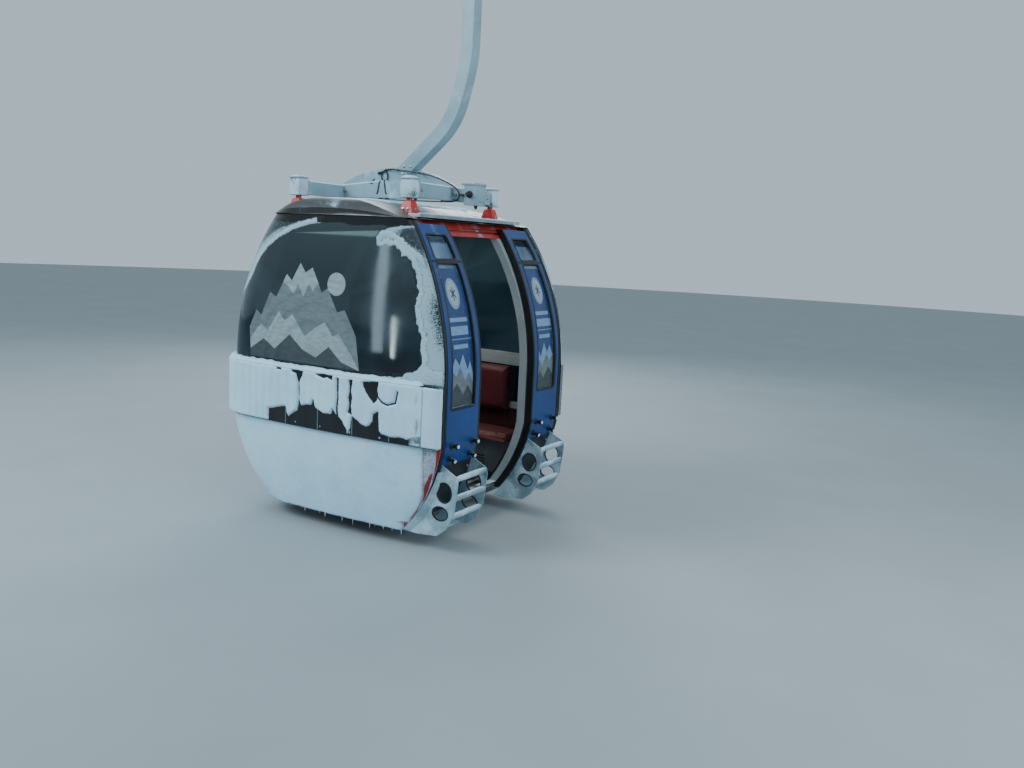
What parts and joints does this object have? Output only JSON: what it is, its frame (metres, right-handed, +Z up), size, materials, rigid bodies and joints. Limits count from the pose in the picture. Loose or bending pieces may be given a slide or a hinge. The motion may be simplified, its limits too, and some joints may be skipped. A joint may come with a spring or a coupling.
{
  "type": "cable car cabin",
  "caption": "Egg-shaped enclosed ropeway cabin with smoked windows, two open side door leaves with ski racks, hanging by a bent hanger from a rope grip.",
  "frame": {"origin": "on the centre line of the haul rope, in the middle of the grip's jaws", "axes": "+Z up, +X out of the doorway, Y along the rope; the picture looks at the -Y end and the +X side"},
  "size_m": [2.091, 1.7398, 5.105],
  "materials": {
    "roof_plastic": "moulded dark grey roof with snow on it",
    "smoked_window": "smoked acrylic, frosted at the edges",
    "belt_glass": "dark tinted lower glazing, snow on it",
    "shell_paint": "red painted lower shell, snow on it",
    "door_paint": "blue painted door leaf",
    "door_glass": "bluish tinted acrylic",
    "portal_paint": "red painted lintel",
    "wall_paint": "light grey painted door side",
    "black_rubber": "black rubber profile",
    "rack_metal": "frosted light grey aluminium",
    "rail_metal": "anodised aluminium rail",
    "floor_metal": "aluminium floor pan",
    "mat_rubber": "ribbed rubber mat",
    "bench_plastic": "grey bench moulding",
    "seat_fabric": "maroon padded covers",
    "bracket_paint": "red painted steel brackets",
    "damper_rubber": "light grey rubber mounts with frost",
    "carrier_paint": "light blue-grey painted steel",
    "grip_steel": "cast and machined steel",
    "spring_paint": "yellow painted spring housings",
    "tyre_plastic": "polyurethane tyre on a steel wheel"
  },
  "bodies": {
    "grip": {"grip_body": "grip_steel", "grip_carriage": "grip_steel", "spring_housings": "spring_paint"},
    "running_wheel_front": {"running_wheel_front": "tyre_plastic"},
    "running_wheel_rear": {"running_wheel_rear": "tyre_plastic"},
    "guide_roller": {"guide_roller": "tyre_plastic"},
    "moving_jaw": {"moving_jaw": "grip_steel"},
    "lever_roller": {"lever_roller": "tyre_plastic"},
    "cabin": {"hanger_arm": "carrier_paint", "hanger_head": "carrier_paint", "cross_beam": "carrier_paint", "frame_bars": "carrier_paint", "dampers": "damper_rubber", "roof_brackets": "bracket_paint", "door_lock_housing": "carrier_paint", "roof_shell": "roof_plastic", "window_front": "smoked_window", "window_rear": "smoked_window", "window_back": "smoked_window", "back_posts": "black_rubber", "wall_frame_front": "wall_paint", "wall_frame_rear": "wall_paint", "wall_frame_back": "wall_paint", "side_window_left": "smoked_window", "side_window_right": "smoked_window", "belt_window_front": "belt_glass", "belt_window_rear": "belt_glass", "belt_window_back": "belt_glass", "lower_shell_front": "shell_paint", "lower_shell_rear": "shell_paint", "lower_shell_back": "shell_paint", "floor_pan": "floor_metal", "floor_mat": "mat_rubber", "floor_skids": "black_rubber", "door_header": "portal_paint", "door_sill": "rail_metal", "door_wall_left": "wall_paint", "door_wall_right": "wall_paint", "corner_post_left": "black_rubber", "corner_post_right": "black_rubber", "door_gutter": "rail_metal", "bench_front": "bench_plastic", "bench_rear": "bench_plastic", "seat_pad_front": "seat_fabric", "seat_pad_rear": "seat_fabric", "backrest_front": "seat_fabric", "backrest_rear": "seat_fabric"},
    "left_door": {"left_door_frame": "door_paint", "left_door_seal": "black_rubber", "left_door_glass": "door_glass", "left_ski_rack": "rack_metal"},
    "right_door": {"right_door_frame": "door_paint", "right_door_seal": "black_rubber", "right_door_glass": "door_glass", "right_ski_rack": "rack_metal"}
  },
  "joints": [
    {"name": "hanger_swing", "type": "hinge", "parent": "grip", "child": "cabin", "pos_m": [0.105, 0, -0.23], "axis": [1, 0, 0], "range_deg": [-35, 35]},
    {"name": "jaw_open", "type": "hinge", "parent": "grip", "child": "moving_jaw", "pos_m": [0.062, 0, -0.082], "axis": [0, 1, 0], "range_deg": [0, 18], "stiffness_Nm_per_rad": 300, "springref_deg": -8.59},
    {"name": "lever_roller_spin", "type": "hinge", "parent": "moving_jaw", "child": "lever_roller", "pos_m": [0.209, 0, -0.02], "axis": [1, 0, 0], "continuous": true},
    {"name": "guide_roller_spin", "type": "hinge", "parent": "grip", "child": "guide_roller", "pos_m": [-0.136, 0, -0.172], "axis": [0, 0, 1], "continuous": true},
    {"name": "left_door_slide", "type": "slide", "parent": "cabin", "child": "left_door", "axis": [0, 1, 0], "range_m": [0, 0.3435]},
    {"name": "right_door_slide", "type": "slide", "parent": "cabin", "child": "right_door", "axis": [0, 1, 0], "range_m": [-0.3435, 0]},
    {"name": "running_wheel_front_spin", "type": "hinge", "parent": "grip", "child": "running_wheel_front", "pos_m": [-0.13, -0.15, 0.04], "axis": [1, 0, 0], "continuous": true},
    {"name": "running_wheel_rear_spin", "type": "hinge", "parent": "grip", "child": "running_wheel_rear", "pos_m": [-0.13, 0.15, 0.04], "axis": [1, 0, 0], "continuous": true}
  ],
  "couplings": [
    {"joint": "right_door_slide", "follows": "left_door_slide", "ratio": -1}
  ]
}
